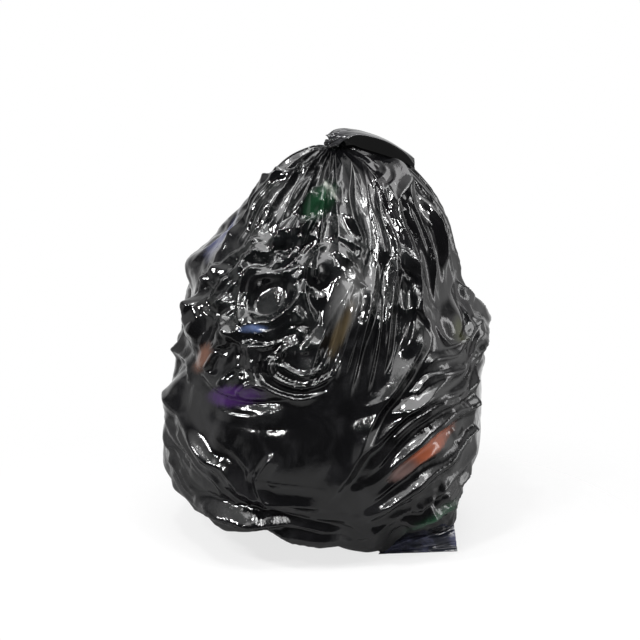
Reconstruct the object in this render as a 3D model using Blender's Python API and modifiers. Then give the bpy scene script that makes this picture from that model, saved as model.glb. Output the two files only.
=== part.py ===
"""A full bin bag, standing on its base with its neck tied, as one closed solid.

The bag is a tube of thin plastic film, welded flat across the bottom and knotted with its own neck, so film,
knot and loose mouth are one piece. The filled bag is sealed: film and contents are one solid.
X runs across the bag, -Y is its front, and Z is up from the floor it stands on. All lengths are in metres.
"""

import math

import bmesh
import bpy
import numpy as np
from mathutils import Vector

# The filled body, as level sections from the floor up to the tied neck:
# height, then how far the section reaches to the left, right, front and back.
SECTIONS = (
    (0.000, -0.118, 0.150, -0.142, 0.118),
    (0.010, -0.140, 0.166, -0.158, 0.138),
    (0.034, -0.178, 0.177, -0.172, 0.158),
    (0.065, -0.200, 0.183, -0.182, 0.168),
    (0.111, -0.212, 0.196, -0.190, 0.176),
    (0.152, -0.214, 0.199, -0.193, 0.180),
    (0.197, -0.203, 0.201, -0.190, 0.181),
    (0.240, -0.194, 0.198, -0.182, 0.177),
    (0.280, -0.190, 0.188, -0.172, 0.168),
    (0.320, -0.176, 0.174, -0.158, 0.155),
    (0.360, -0.168, 0.166, -0.142, 0.140),
    (0.398, -0.134, 0.158, -0.124, 0.124),
    (0.425, -0.117, 0.149, -0.108, 0.110),
    (0.446, -0.101, 0.135, -0.092, 0.096),
    (0.464, -0.081, 0.120, -0.076, 0.080),
    (0.480, -0.064, 0.104, -0.058, 0.062),
    (0.492, -0.047, 0.068, -0.040, 0.044),
    (0.502, -0.020, 0.034, -0.018, 0.022),
    (0.508, -0.001, 0.017, -0.008, 0.010),
)
SECTION_SQUARENESS = 2.35  # 2 is an ellipse, more is boxier
COLUMNS = 84
ROWS = 36

# Contents and seam corners that push the film out: place on the film, how far round it they act,
# the push, and how pointed the result is (1 is a sharp point, 2 or more is round).
POKES = (
    ((0.187, -0.030, 0.283), 0.062, (0.034, -0.004, 0.000), 1.0),  # corner of a box, right side
    ((-0.164, -0.010, 0.352), 0.034, (-0.017, 0.000, 0.004), 1.0),  # corner high on the left
    ((-0.205, -0.020, 0.086), 0.036, (-0.012, -0.004, -0.002), 1.0),  # corner low on the left
    ((-0.080, -0.135, 0.290), 0.085, (-0.004, -0.020, 0.000), 2.0),  # base of a bottle, front
    ((-0.070, -0.185, 0.130), 0.110, (0.000, -0.010, 0.000), 2.0),  # broad soft bundle, front
    ((0.120, -0.125, 0.300), 0.060, (0.010, -0.012, 0.000), 2.0),  # neck of a bottle, front right
    ((0.110, 0.130, 0.250), 0.090, (0.010, 0.016, 0.000), 2.0),  # round tin, back
    ((-0.110, 0.140, 0.150), 0.080, (-0.008, 0.014, 0.000), 1.5),  # carton, back
    ((0.020, 0.120, 0.380), 0.070, (0.000, 0.014, 0.006), 2.0),  # tray, high at the back
    ((0.142, -0.112, 0.012), 0.075, (0.036, -0.016, 0.000), 1.2),  # seam corner, front right
    ((-0.118, 0.098, 0.012), 0.070, (-0.032, 0.022, 0.000), 1.2),  # seam corner, back left
)

# Gathers that run down from the tied neck.
PLEATS = 14
PLEAT_DEPTH = 0.0075
PLEAT_HEIGHTS = (0.250, 0.430, 0.475, 0.503)  # none, full, full, none
PLEAT_DRIFTS = ((3, 0.16, 0.6), (5, 0.09, 2.0))  # waves round the neck that space them unevenly: count, size, phase
PLEAT_LIFT = 0.04  # tips the way that gathers stand out upwards, most where the film is close to the neck

# The knot: an overhand knot of twisted film on top of the body.
KNOT_CENTRE = Vector((0.009, 0.000, 0.508))
KNOT_LOOP = 0.0064
KNOT_FILM = 0.0044
KNOT_POINTS = 36
KNOT_RISE = 1.3  # how far its strands pass over and under each other, against its loop

# The loose mouth above the knot, laid over to the right as a hood: its front rim, crest, back and foot,
# each from the knot outwards.
HOOD_RIM = (
    (0.003, -0.011, 0.505),
    (0.024, -0.026, 0.5140),
    (0.046, -0.032, 0.5195),
    (0.075, -0.030, 0.5075),
    (0.100, -0.020, 0.4900),
    (0.111, -0.006, 0.4740),
)
HOOD_CREST = (
    (0.001, 0.000, 0.516),
    (0.020, 0.000, 0.5300),
    (0.044, 0.002, 0.5285),
    (0.077, 0.004, 0.5170),
    (0.106, 0.004, 0.4950),
    (0.115, 0.004, 0.4750),
)
HOOD_BACK = (
    (0.008, 0.012, 0.512),
    (0.024, 0.030, 0.5180),
    (0.046, 0.038, 0.5120),
    (0.078, 0.040, 0.5000),
    (0.104, 0.030, 0.4820),
    (0.112, 0.014, 0.4700),
)
HOOD_FOOT = (
    (0.006, 0.016, 0.498),
    (0.022, 0.043, 0.4840),
    (0.044, 0.056, 0.4740),
    (0.072, 0.058, 0.4660),
    (0.096, 0.045, 0.4620),
    (0.106, 0.020, 0.4600),
)
HOOD_THICKNESS = 0.0026
HOOD_COLUMNS = 18
HOOD_ROWS = 9

FILM_COLOUR = (0.012, 0.012, 0.013, 1.0)
FILM_ROUGHNESS = 0.22
MERGE_WITHIN = 0.00005


def smooth_between(knots, values, where):
    """A smooth curve through values at knots, read at where."""
    knots = np.asarray(knots, float)
    values = np.asarray(values, float)
    slopes = np.gradient(values, knots, axis=0)
    where = np.clip(where, knots[0], knots[-1])
    left = np.clip(np.searchsorted(knots, where, side="right") - 1, 0, len(knots) - 2)
    span = knots[left + 1] - knots[left]
    t = (where - knots[left]) / span
    start = (1 + 2 * t) * (1 - t) ** 2
    end = t * t * (3 - 2 * t)
    leave = t * (1 - t) ** 2 * span
    arrive = t * t * (t - 1) * span
    return start * values[left] + end * values[left + 1] + leave * slopes[left] + arrive * slopes[left + 1]


def section_at(share):
    """The section at this share of the way up the film, from the floor to the neck, measured along the film."""
    table = np.array(SECTIONS)
    reach = np.abs(table[:, 1:]).mean(axis=1)
    steps = np.hypot(np.diff(table[:, 0]), np.diff(reach))
    along = np.concatenate([[0.0], np.cumsum(steps)])
    return smooth_between(along / along[-1], table, share)


def on_section(section, turn):
    """The film's point on a section. turn is 0 at the front and runs to the right, in radians."""
    height, left, right, front, back = section
    power = 2 / SECTION_SQUARENESS
    across = math.copysign(abs(math.sin(turn)) ** power, math.sin(turn))
    away = -math.copysign(abs(math.cos(turn)) ** power, math.cos(turn))
    centre_x = (left + right) / 2
    centre_y = (front + back) / 2
    return Vector((centre_x + across * (right - left) / 2, centre_y + away * (back - front) / 2, height))


def pleated(point, turn):
    """The point moved in or out with the gathers under the neck."""
    depth = PLEAT_DEPTH * float(np.interp(point.z, PLEAT_HEIGHTS, (0, 1, 1, 0)))
    uneven = turn + sum(size * math.sin(count * turn + phase) for count, size, phase in PLEAT_DRIFTS)
    ridge = abs(math.cos(uneven * PLEATS / 2))
    outward = Vector((point.x, point.y, PLEAT_LIFT)).normalized()
    return point + outward * depth * (0.5 - ridge)


def poked(point):
    """The point pushed out by the contents and seam corners near it."""
    moved = point.copy()
    for place, spread, push, sharpness in POKES:
        near = max(0.0, 1.0 - (point - Vector(place)).length / spread)
        moved += Vector(push) * near**sharpness
    return moved


def make_body():
    """The filled bag from floor to neck: a capped tube whose rings are the sections."""
    bm = bmesh.new()
    bmesh.ops.create_cone(bm, cap_ends=True, segments=COLUMNS, radius1=1, radius2=1, depth=1)
    uprights = [e for e in bm.edges if abs(e.verts[0].co.z - e.verts[1].co.z) > 0.5]
    bmesh.ops.subdivide_edges(bm, edges=uprights, cuts=ROWS - 1, use_grid_fill=True)
    for vert in bm.verts:
        turn = math.atan2(vert.co.x, -vert.co.y)
        section = section_at(vert.co.z + 0.5)
        vert.co = poked(pleated(on_section(section, turn), turn))
        vert.co.z = max(vert.co.z, 0.0)
    for face in bm.faces:
        face.smooth = len(face.verts) == 4
    return mesh_object("bin_bag", bm)


def make_knot():
    """The overhand knot, a closed tube along a trefoil."""
    curve = bpy.data.curves.new("knot_curve", "CURVE")
    curve.dimensions = "3D"
    curve.bevel_depth = KNOT_FILM
    curve.bevel_resolution = 2
    spline = curve.splines.new("POLY")
    spline.points.add(KNOT_POINTS - 1)
    spline.use_cyclic_u = True
    for number, point in enumerate(spline.points):
        turn = 2 * math.pi * number / KNOT_POINTS
        across = math.sin(turn) + 2 * math.sin(2 * turn)
        away = math.cos(turn) - 2 * math.cos(2 * turn)
        up = -math.sin(3 * turn) * KNOT_RISE
        place = KNOT_CENTRE + Vector((across, away, up)) * KNOT_LOOP
        point.co = (*place, 1.0)
    tube = bpy.data.objects.new("knot_tube", curve)
    bpy.context.scene.collection.objects.link(tube)
    bpy.context.view_layer.update()
    graph = bpy.context.evaluated_depsgraph_get()
    mesh = bpy.data.meshes.new_from_object(tube.evaluated_get(graph))
    bpy.data.objects.remove(tube)
    bm = bmesh.new()
    bm.from_mesh(mesh)
    bmesh.ops.remove_doubles(bm, verts=bm.verts, dist=MERGE_WITHIN)
    bmesh.ops.recalc_face_normals(bm, faces=bm.faces)
    return mesh_object("knot", bm)


def make_hood():
    """The loose mouth: a sheet from the front rim over the crest to the foot on the bag's back, given a thickness."""
    bm = bmesh.new()
    bmesh.ops.create_grid(bm, x_segments=HOOD_COLUMNS, y_segments=HOOD_ROWS, size=0.5)
    lines = np.array((HOOD_RIM, HOOD_CREST, HOOD_BACK, HOOD_FOOT))
    outward = np.linspace(0, 1, len(HOOD_RIM))
    over = np.linspace(0, 1, len(lines))
    for vert in bm.verts:
        across = [smooth_between(outward, line, vert.co.x + 0.5) for line in lines]
        vert.co = smooth_between(over, across, vert.co.y + 0.5)
    bmesh.ops.recalc_face_normals(bm, faces=bm.faces)
    hood = mesh_object("hood", bm)
    shell = hood.modifiers.new("thickness", "SOLIDIFY")
    shell.thickness = HOOD_THICKNESS
    shell.offset = 0
    return hood


def mesh_object(name, bm):
    mesh = bpy.data.meshes.new(name)
    bm.to_mesh(mesh)
    bm.free()
    return bpy.data.objects.new(name, mesh)


def make_film():
    material = bpy.data.materials.new("black_film")
    material.use_nodes = True
    shader = material.node_tree.nodes["Principled BSDF"]
    shader.inputs["Base Color"].default_value = FILM_COLOUR
    shader.inputs["Roughness"].default_value = FILM_ROUGHNESS
    shader.inputs["Metallic"].default_value = 0.0
    return material


def join_to(body, piece):
    """The film runs on from the body into the piece: a union of the two."""
    union = body.modifiers.new("joins_" + piece.name, "BOOLEAN")
    union.operation = "UNION"
    union.object = piece
    piece.hide_render = True
    piece.display_type = "WIRE"


def centre_on_floor(body, others):
    """Moves the bag so that the middle of its box is over the origin."""
    bpy.context.view_layer.update()
    graph = bpy.context.evaluated_depsgraph_get()
    corners = np.array([corner[:] for corner in body.evaluated_get(graph).bound_box])
    middle = (corners.min(axis=0) + corners.max(axis=0)) / 2
    for piece in (body, *others):
        piece.location = (-middle[0], -middle[1], 0)


def main():
    for obj in list(bpy.data.objects):
        bpy.data.objects.remove(obj)
    parts = bpy.data.collections.new("bin_bag")
    cutters = bpy.data.collections.new("joined_pieces")
    for collection in (parts, cutters):
        bpy.context.scene.collection.children.link(collection)
    body = make_body()
    knot = make_knot()
    hood = make_hood()
    parts.objects.link(body)
    for piece in (hood, knot):
        cutters.objects.link(piece)
        join_to(body, piece)
    body.data.materials.append(make_film())
    centre_on_floor(body, (hood, knot))


main()
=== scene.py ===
"""The looks of a full bin bag: thin glossy black film over its contents, knotted with its own neck.

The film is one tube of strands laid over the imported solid. Rounded contents, gathers, drawn folds and small
folds stand up from it, and then it settles.
A place on the bag is its turn, in degrees from the front towards the right, and its height, in metres.
"""

import math

import bmesh
import bpy
import numpy as np
from mathutils import Matrix, Vector
from mathutils.bvhtree import BVHTree


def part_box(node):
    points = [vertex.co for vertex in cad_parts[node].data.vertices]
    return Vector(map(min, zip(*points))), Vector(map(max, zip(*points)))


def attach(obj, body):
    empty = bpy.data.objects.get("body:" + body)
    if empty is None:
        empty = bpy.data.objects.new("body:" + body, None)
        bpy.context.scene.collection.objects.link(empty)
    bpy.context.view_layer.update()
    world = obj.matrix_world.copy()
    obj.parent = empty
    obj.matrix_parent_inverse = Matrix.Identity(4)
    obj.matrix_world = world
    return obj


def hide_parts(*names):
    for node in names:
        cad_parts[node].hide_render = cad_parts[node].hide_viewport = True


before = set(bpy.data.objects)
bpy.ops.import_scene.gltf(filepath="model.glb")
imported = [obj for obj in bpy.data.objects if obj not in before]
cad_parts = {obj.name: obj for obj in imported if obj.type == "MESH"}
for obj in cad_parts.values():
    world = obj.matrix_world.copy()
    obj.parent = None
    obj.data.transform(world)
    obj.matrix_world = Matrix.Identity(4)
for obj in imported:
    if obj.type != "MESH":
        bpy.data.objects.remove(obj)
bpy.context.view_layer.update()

BAG_NODE = "bin_bag"
LOW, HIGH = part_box(BAG_NODE)
rng = np.random.default_rng(41)

# The film's lattice.
COLUMNS = 576  # round the bag
ROWS = 352  # from the middle of its underside up to the knot
FRONT_CROWDING = 0.40  # the strands lie this much closer together at the front
NECK = Vector((0.0094, 0.0079, HIGH.z - 0.0243))  # the middle of the knot
CORE = Vector((NECK.x, NECK.y, 0.240))  # inside the bag, straight under its neck
LOWEST_LIFT = -math.pi / 2 + 0.01  # nearly straight down
TOP_LIFT = math.radians(85.5)  # the film turns up into its throat here, seen from the core
THROAT = ((0.0120, 0.506), (0.0080, 0.511), (0.0060, 0.516))  # radius and height, up to the knot
RAYS_UP = 360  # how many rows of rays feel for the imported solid
RAYS_BLUR = (4.0, 3.5)  # over how many of them, across and up, their reach is smoothed
RIM_HEIGHT = 0.012  # the film's underside ends about here
MERGE_GAP = 0.0000005  # points that lie closer than this are one point
TINY = 1e-9  # keeps a division from meeting zero
UNDERSIDE_SHARE = 0.07  # the share of the rows that lies under the bag
# The bag's lower edge curls up off the floor towards the left: how far at each place across, up to which
# height, and from where to where that fades towards the back.
CURL_PLACES = (-0.110, -0.048, 0.016, 0.055, 0.090)
CURL_LIFTS = (0.036, 0.037, 0.029, 0.010, 0.0)
CURL_HEIGHT = 0.14
CURL_BACK = (0.0, 0.12)
# On the right it draws in, and at the front it draws back too, behind the seam's corner: how far, from where
# to where across, and up to which height.
DRAWN_IN = 0.018
DRAWN_IN_ACROSS = (0.06, 0.12)
DRAWN_IN_HEIGHT = 0.11
DRAWN_BACK = 0.064
DRAWN_BACK_ACROSS = (0.045, 0.100)
DRAWN_BACK_HEIGHT = 0.085
DRAWN_BACK_CURVE = 1.5  # how steeply it dies away upwards
DRAWN_BACK_FRONT = 0.08  # it is full from this far in front of the middle
# The tip on the right, over a box's corner, is drawn up and in, and its very end stands out again.
TIP_PLACE = (85, 0.285)
TIP_REACH = 0.060
TIP_SHIFT = (-0.027, 0.0, 0.012)
TIP_POINT_PLACE = (85, 0.288)
TIP_POINT_REACH = 0.036
TIP_POINT = (0.016, 0.0, 0.002)

# Contents that show as rounded shapes under the film: turn, height, half width across, half width up, lean
# in degrees towards the right, how far they stand out, and how much of that width is a round edge.
CONTENTS = (
    (-29, 0.338, 0.041, 0.042, 0, 0.007, 0.35),  # the base of a bottle
    (56, 0.298, 0.030, 0.034, 0, 0.008, 0.80),  # the neck of a bottle
    (-13, 0.450, 0.036, 0.024, 0, 0.012, 0.90),
    (10, 0.325, 0.055, 0.075, 12, 0.018, 1.00),
    (35, 0.154, 0.020, 0.060, 62, 0.005, 0.80),
    (-38, 0.232, 0.070, 0.030, 0, 0.008, 0.90),
    (-14, 0.150, 0.085, 0.055, 0, 0.004, 0.90),
    (-62, 0.300, 0.030, 0.040, 0, 0.014, 0.70),
    (-70, 0.200, 0.035, 0.040, 0, 0.014, 0.80),
    (-38, 0.069, 0.074, 0.020, 14, 0.017, 0.60),  # what lies along the bottom
    (-8, 0.043, 0.078, 0.020, 9, 0.014, 0.60),
    (62, 0.420, 0.030, 0.040, 0, 0.009, 0.90),
    (-29, 0.338, 0.034, 0.035, 0, -0.013, 0.50),  # the hollow in the bottle's base
)
# More of them round the sides and back: how many, then the ranges of their measures.
HIDDEN_CONTENTS = 18
HIDDEN_TURNS = (95, 265)
HIDDEN_HEIGHTS = (0.06, 0.40)
HIDDEN_HALVES = (0.032, 0.066)
HIDDEN_OUT = (0.006, 0.014)
HIDDEN_EDGES = (0.7, 1.0)

# How the folded film settles.
SETTLE_STEPS = 30
SETTLE_BEND = 0.012  # how fast its bends even out
SETTLE_GIVE = 0.22  # how far a strand pulls its ends towards its own length at once
SETTLE_SPEED = 0.86  # the share of its speed that it keeps from step to step
FORM_KEPT = 0.7  # the share of its folded form that it keeps
PINNED_SHARE = 0.6  # the share of the underside that stays where it is

# Gathers round the neck.
GATHERS = 25
GATHER_SLOPE = 0.26  # their height against the distance from the neck's middle
GATHER_HEIGHT = 0.0070
GATHER_LENGTHS = (0.10, 0.24)
GATHER_CURVE = 1.1
GATHER_END = 1.4  # the gathers fade out by this share of their lengths
GATHER_DRIFTS = ((2, 0.14, 0.4), (3, 0.12, 1.6), (7, 0.05, 2.0))  # waves round the neck, size and start

CREST_CURVE = 1.4  # a drawn fold's sides curve up to its crest
FACET_CURVE = 1.0  # a small fold's sides are flat
FOLD_START = 0.14  # a fold rises over this share of its length
FOLD_END = 0.3  # and dies away over this one
FOLD_LEAN = (-0.4, 0.4)  # how much steeper one side of it is
SMALL_FOLD_LEAN = (-0.5, 0.5)
FOLD_SLACK = 0.03  # rows this far beyond a fold are looked through too
LINE_STEPS = 7  # from place to place along a drawn line
PART_STEPS = 24  # along a part of one
LEVEL_REACH = (24, 20)  # most of the folds' mean height over this many strands is taken off
LEVEL_SHARE = 0.8
FOOT_FADE = 0.12  # from the middle of the underside, the folds rise over this distance along the film
FOOT_START = 0.6  # and begin at this share of it
NARROWEST = 0.03  # nearer the neck than this radius, small folds span no more degrees than here
NARROW = 0.08  # where the bag is narrower than this radius, folds are narrower and lower in proportion
BESIDE_NARROW = 0.12  # and here the finer folds lie closer beside a drawn one

# Folds drawn one by one, in families that lie side by side. Each family has its finer folds: how many flow
# between two neighbours, how many run beside each fold, and how high they are against the ones of other
# families. Each fold has its crest's height over the film around it, its half width at its foot, then the
# places it runs through. A negative height is a valley.
FOLDS = (
    ("right of the knot", 5, 0, 0.7, (
        (0.008, 0.013, ((51, 0.500), (27, 0.460), (24, 0.400), (17, 0.345), (5, 0.270), (3, 0.210))),
        (0.010, 0.015, ((68, 0.500), (35, 0.450), (33, 0.395), (21, 0.300), (13, 0.220))),
        (0.012, 0.017, ((70, 0.497), (42, 0.440), (40, 0.360), (36, 0.300))),
        (0.009, 0.014, ((72, 0.495), (50, 0.450), (51, 0.380), (47, 0.320))),
        (0.008, 0.013, ((71, 0.492), (60, 0.445), (61, 0.390), (58, 0.340))),
        (0.008, 0.014, ((70, 0.488), (72, 0.450), (78, 0.365), (82, 0.310))),
        (0.006, 0.012, ((85, 0.485), (90, 0.425), (92, 0.340))),
    )),
    ("close to the knot on the right", 3, 0, 1.0, (
        (0.003, 0.008, ((58, 0.502), (36, 0.478), (32, 0.452), (30, 0.428))),
        (0.0035, 0.008, ((68, 0.500), (46, 0.474), (42, 0.446), (40, 0.418))),
        (0.0035, 0.008, ((74, 0.498), (56, 0.472), (52, 0.444), (51, 0.412))),
        (0.003, 0.008, ((80, 0.494), (68, 0.466), (66, 0.436), (66, 0.408))),
        (0.003, 0.008, ((88, 0.490), (80, 0.460), (78, 0.430), (79, 0.400))),
    )),
    ("left of the knot", 4, 0, 1.0, (
        (0.006, 0.011, ((27, 0.498), (13, 0.465), (11, 0.435), (15, 0.405))),
        (0.006, 0.008, ((8, 0.500), (-6, 0.477), (-17, 0.455), (-28, 0.432))),
        (0.008, 0.014, ((-10, 0.500), (-31, 0.470), (-34, 0.430), (-37, 0.380))),
        (0.008, 0.014, ((-20, 0.498), (-48, 0.470), (-50, 0.430), (-49, 0.375))),
        (0.007, 0.014, ((-28, 0.495), (-60, 0.470), (-66, 0.425), (-64, 0.370))),
        (0.007, 0.014, ((-33, 0.493), (-78, 0.460), (-80, 0.410), (-82, 0.360))),
    )),
    ("pleats that end in the middle", 3, 0, 1.0, (
        (0.006, 0.009, ((38, 0.345), (32, 0.300), (26, 0.265))),
        (0.009, 0.011, ((32, 0.385), (25, 0.335), (21, 0.285), (17, 0.235))),
        (0.007, 0.010, ((21, 0.345), (16, 0.285), (10, 0.215))),
        (0.008, 0.010, ((16, 0.350), (10, 0.285), (3, 0.210))),
        (0.007, 0.010, ((11, 0.350), (4, 0.285), (-4, 0.215))),
        (0.006, 0.009, ((5, 0.340), (-2, 0.280), (-9, 0.225))),
    )),
    ("from the box corner down to the lower left", 3, 0, 1.0, (
        (0.009, 0.014, ((80, 0.285), (60, 0.275), (42, 0.262), (30, 0.240))),
        (0.009, 0.014, ((78, 0.280), (62, 0.262), (48, 0.240), (30, 0.210), (16, 0.200))),
        (0.012, 0.017, (
            (37, 0.310), (33, 0.275), (23, 0.235), (14, 0.200), (6, 0.142), (0, 0.110), (-7, 0.078),
        )),
    )),
    ("long folds on the lower right", 4, 0, 1.0, (
        (0.009, 0.014, ((68, 0.262), (58, 0.240), (40, 0.220), (23, 0.195), (10, 0.160), (3, 0.135))),
        (0.008, 0.013, ((66, 0.235), (52, 0.210), (35, 0.195), (20, 0.160), (9, 0.120))),
        (0.009, 0.012, ((64, 0.210), (50, 0.196), (36, 0.178), (22, 0.144), (8, 0.106))),
        (0.010, 0.012, ((66, 0.178), (54, 0.156), (42, 0.130), (26, 0.102), (16, 0.082), (4, 0.062))),
        (0.010, 0.012, ((70, 0.152), (52, 0.118), (36, 0.086), (19, 0.058), (2, 0.036))),
        (0.009, 0.011, ((66, 0.118), (50, 0.084), (36, 0.060), (22, 0.038))),
        (0.008, 0.010, ((62, 0.092), (50, 0.066), (32, 0.044), (17, 0.026))),
    )),
    ("round the box corner and the bottle's neck", 0, 3, 1.0, (
        (0.008, 0.015, ((71, 0.255), (62, 0.230), (58, 0.190), (60, 0.130))),
        (0.010, 0.014, ((72, 0.345), (80, 0.308), (86, 0.273), (88, 0.225))),
        (0.010, 0.014, ((58, 0.256), (72, 0.262), (86, 0.273), (106, 0.266))),
        (0.006, 0.008, ((67, 0.320), (66, 0.290), (56, 0.272), (45, 0.288), (44, 0.315))),
    )),
    ("the lower left", 0, 4, 1.0, (
        (0.006, 0.014, ((-81, 0.210), (-64, 0.185), (-53, 0.160), (-42, 0.130), (-34, 0.095))),
        (0.009, 0.015, ((-57, 0.175), (-46, 0.145), (-38, 0.130), (-30, 0.100), (-13, 0.090), (2, 0.080))),
        (0.007, 0.011, ((-20, 0.160), (-24, 0.140), (-27, 0.118), (-24, 0.095), (-16, 0.078), (-6, 0.070))),
        (-0.003, 0.014, ((-48, 0.196), (-36, 0.188), (-24, 0.186), (-10, 0.190))),
        (0.007, 0.014, ((-69, 0.130), (-59, 0.085), (-50, 0.070))),
    )),
    ("the bulge at the bottom", 4, 0, 0.3, (
        (0.012, 0.014, ((-56, 0.086), (-36, 0.076), (-18, 0.066), (-4, 0.056), (8, 0.044))),
        (0.011, 0.012, ((-50, 0.064), (-28, 0.054), (-10, 0.046), (6, 0.036))),
        (0.011, 0.012, ((-44, 0.042), (-22, 0.034), (-4, 0.027), (12, 0.020))),
    )),
    ("the rim of the bottle's base", 0, 0, 1.0, (
        (0.005, 0.006, ((-33, 0.378), (-40, 0.362), (-42, 0.338), (-39, 0.314), (-30, 0.300), (-20, 0.306))),
    )),
    ("round the bottle's base", 0, 1, 1.0, (
        (0.004, 0.008, ((-62, 0.300), (-52, 0.350), (-42, 0.385), (-24, 0.390))),
        (0.006, 0.007, ((-48, 0.318), (-40, 0.292), (-28, 0.283), (-14, 0.298))),
        (0.008, 0.014, ((-12, 0.225), (-6, 0.290), (4, 0.340), (12, 0.375))),
        (0.006, 0.008, ((-8, 0.305), (-14, 0.345), (-12, 0.385), (-2, 0.405))),
    )),
    ("loops under the bottle's base", 2, 0, 1.0, (
        (0.005, 0.006, ((-20, 0.285), (-20, 0.262), (-12, 0.250), (-5, 0.262), (-5, 0.288))),
        (0.006, 0.007, ((-25, 0.278), (-23, 0.248), (-12, 0.236), (-1, 0.252), (0, 0.290))),
        (0.006, 0.008, ((-32, 0.268), (-27, 0.238), (-14, 0.222), (0, 0.232))),
    )),
    ("hooks at the lower left of the crumples", 0, 2, 1.0, (
        (0.005, 0.007, ((-52, 0.240), (-47, 0.268), (-40, 0.262))),
        (0.005, 0.007, ((-44, 0.228), (-38, 0.252), (-31, 0.246))),
        (0.005, 0.007, ((-36, 0.222), (-31, 0.238), (-24, 0.232))),
        (-0.006, 0.012, ((-58, 0.238), (-36, 0.215), (-12, 0.222))),
    )),
    ("the left side", 0, 1, 1.0, (
        (0.006, 0.014, ((-90, 0.310), (-75, 0.280), (-80, 0.225), (-76, 0.175))),
        (0.007, 0.014, ((-65, 0.360), (-64, 0.325), (-63, 0.285))),
        (0.007, 0.014, ((-88, 0.255), (-64, 0.245), (-60, 0.220))),
    )),
)
FINER_CREST = (-0.30, 0.50)  # the finer folds' height and half width, against the drawn fold's
FINER_WIDTH = (0.30, 0.60)
BESIDE_OFFSET = (0.7, 2.2)  # how far off the ones beside it lie, in half widths
BESIDE_SPAN = ((0, 0.4), (0.6, 1))  # where along the drawn folds they start and end
BETWEEN_SPAN = ((0, 0.45), (0.55, 1))
BETWEEN_SHARE = (0.2, 0.8)  # how far over its share of the gap one lies

# Small folds, zone by zone: turn, height, half width in degrees, half height; the way most of them run, in
# degrees from upright towards the right, and how far that varies; their length, half width, height and
# number.
SMALL_FOLDS = (
    ("crumples on the left", -36, 0.325, 36, 0.080, -15, 80, (0.018, 0.045), (0.008, 0.018), 0.0025, 99),
    ("crumples under the knot", -8, 0.398, 24, 0.045, -20, 70, (0.018, 0.045), (0.008, 0.018), 0.0019, 47),
    ("left shoulder", -62, 0.400, 28, 0.070, -35, 26, (0.030, 0.070), (0.008, 0.018), 0.0015, 31),
    ("fan on the right", 46, 0.390, 34, 0.090, 2, 8, (0.050, 0.120), (0.008, 0.014), 0.0014, 16),
    ("crumples in the pleats", 37, 0.345, 6, 0.040, 5, 80, (0.012, 0.026), (0.006, 0.012), 0.0014, 14),
    ("right shoulder", 74, 0.390, 20, 0.070, -4, 12, (0.050, 0.110), (0.010, 0.018), 0.0020, 12),
    ("lower right", 36, 0.150, 34, 0.090, 56, 8, (0.040, 0.100), (0.006, 0.012), 0.0009, 21),
    ("bottom right corner", 50, 0.055, 24, 0.040, 62, 40, (0.015, 0.045), (0.008, 0.014), 0.0015, 31),
    ("left side", -80, 0.240, 26, 0.120, 8, 28, (0.030, 0.080), (0.008, 0.018), 0.0014, 42),
    ("bottom left", -56, 0.110, 28, 0.070, -50, 25, (0.030, 0.080), (0.008, 0.018), 0.0013, 36),
    ("panel in the middle", -16, 0.150, 26, 0.060, 40, 60, (0.040, 0.090), (0.016, 0.028), 0.0010, 14),
    ("bottom front", -10, 0.035, 64, 0.035, 86, 10, (0.040, 0.110), (0.006, 0.012), 0.0018, 31),
    ("right side", 104, 0.200, 30, 0.150, -8, 25, (0.030, 0.090), (0.010, 0.020), 0.0016, 68),
    ("back, high", 170, 0.390, 60, 0.090, 0, 16, (0.050, 0.120), (0.010, 0.020), 0.0019, 104),
    ("back, middle", 190, 0.260, 66, 0.110, 20, 80, (0.020, 0.060), (0.010, 0.022), 0.0019, 218),
    ("back, low", 170, 0.110, 80, 0.090, -55, 25, (0.040, 0.110), (0.010, 0.020), 0.0018, 135),
    ("back left", 250, 0.330, 30, 0.110, -15, 35, (0.030, 0.080), (0.010, 0.020), 0.0019, 83),
)
FOLD_SIZES = (1.1, 2.3)  # each zone has them in these sizes, fewer of the larger
FOLD_SIZE_RARITY = 1.6  # their number falls with their size to this power
FOLD_SIZE_LENGTH = 0.7  # and their length grows with it to this power
FOLD_KINK = 0.2  # how far their middles stand off their lines, against half their length
FOLD_HEIGHTS = (0.5, 1.3)
FOLD_SIGNS = (-1, 1, 1)  # two crests to a valley

# Places where the film lies smoother: turn, height, half width, half height, and how much smoother, which
# fades over this share of their half widths.
CALM_EDGE = 0.6
CALM_PLACES = (
    (-16, 0.150, 0.095, 0.075, 0.85),
    (-13, 0.450, 0.035, 0.026, 0.70),
    (-29, 0.338, 0.048, 0.048, 0.95),
    (2, 0.340, 0.034, 0.052, 0.92),
    (84, 0.300, 0.060, 0.060, 0.75),
    (70, 0.180, 0.060, 0.090, 0.60),
    (35, 0.154, 0.060, 0.028, 0.90),
    (56, 0.296, 0.036, 0.040, 0.80),
    (-12, 0.045, 0.140, 0.045, 0.65),
    (-26, 0.053, 0.060, 0.030, 0.95),
    (160, 0.150, 0.100, 0.080, 0.60),
    (215, 0.330, 0.080, 0.070, 0.50),
)

# The knot, from the neck's own film.
KNOT_LOOP = 0.0038  # a third of the radius of its way round
KNOT_FILM = 0.0040  # half its gathered width
KNOT_RISE = 1.3  # how far its strands pass over and under each other, against its loop
KNOT_PLEATS = 7
KNOT_STEPS = 150
KNOT_STRANDS = 84
KNOT_SHARES = (0.72, 0.34, 0.05)  # of its radius: the valleys, the pleats and the crinkles
KNOT_PLEAT_CURVE = 0.8
KNOT_DRIFTS = (0.5, 0.3)  # how far its pleats wander along and round it

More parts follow.
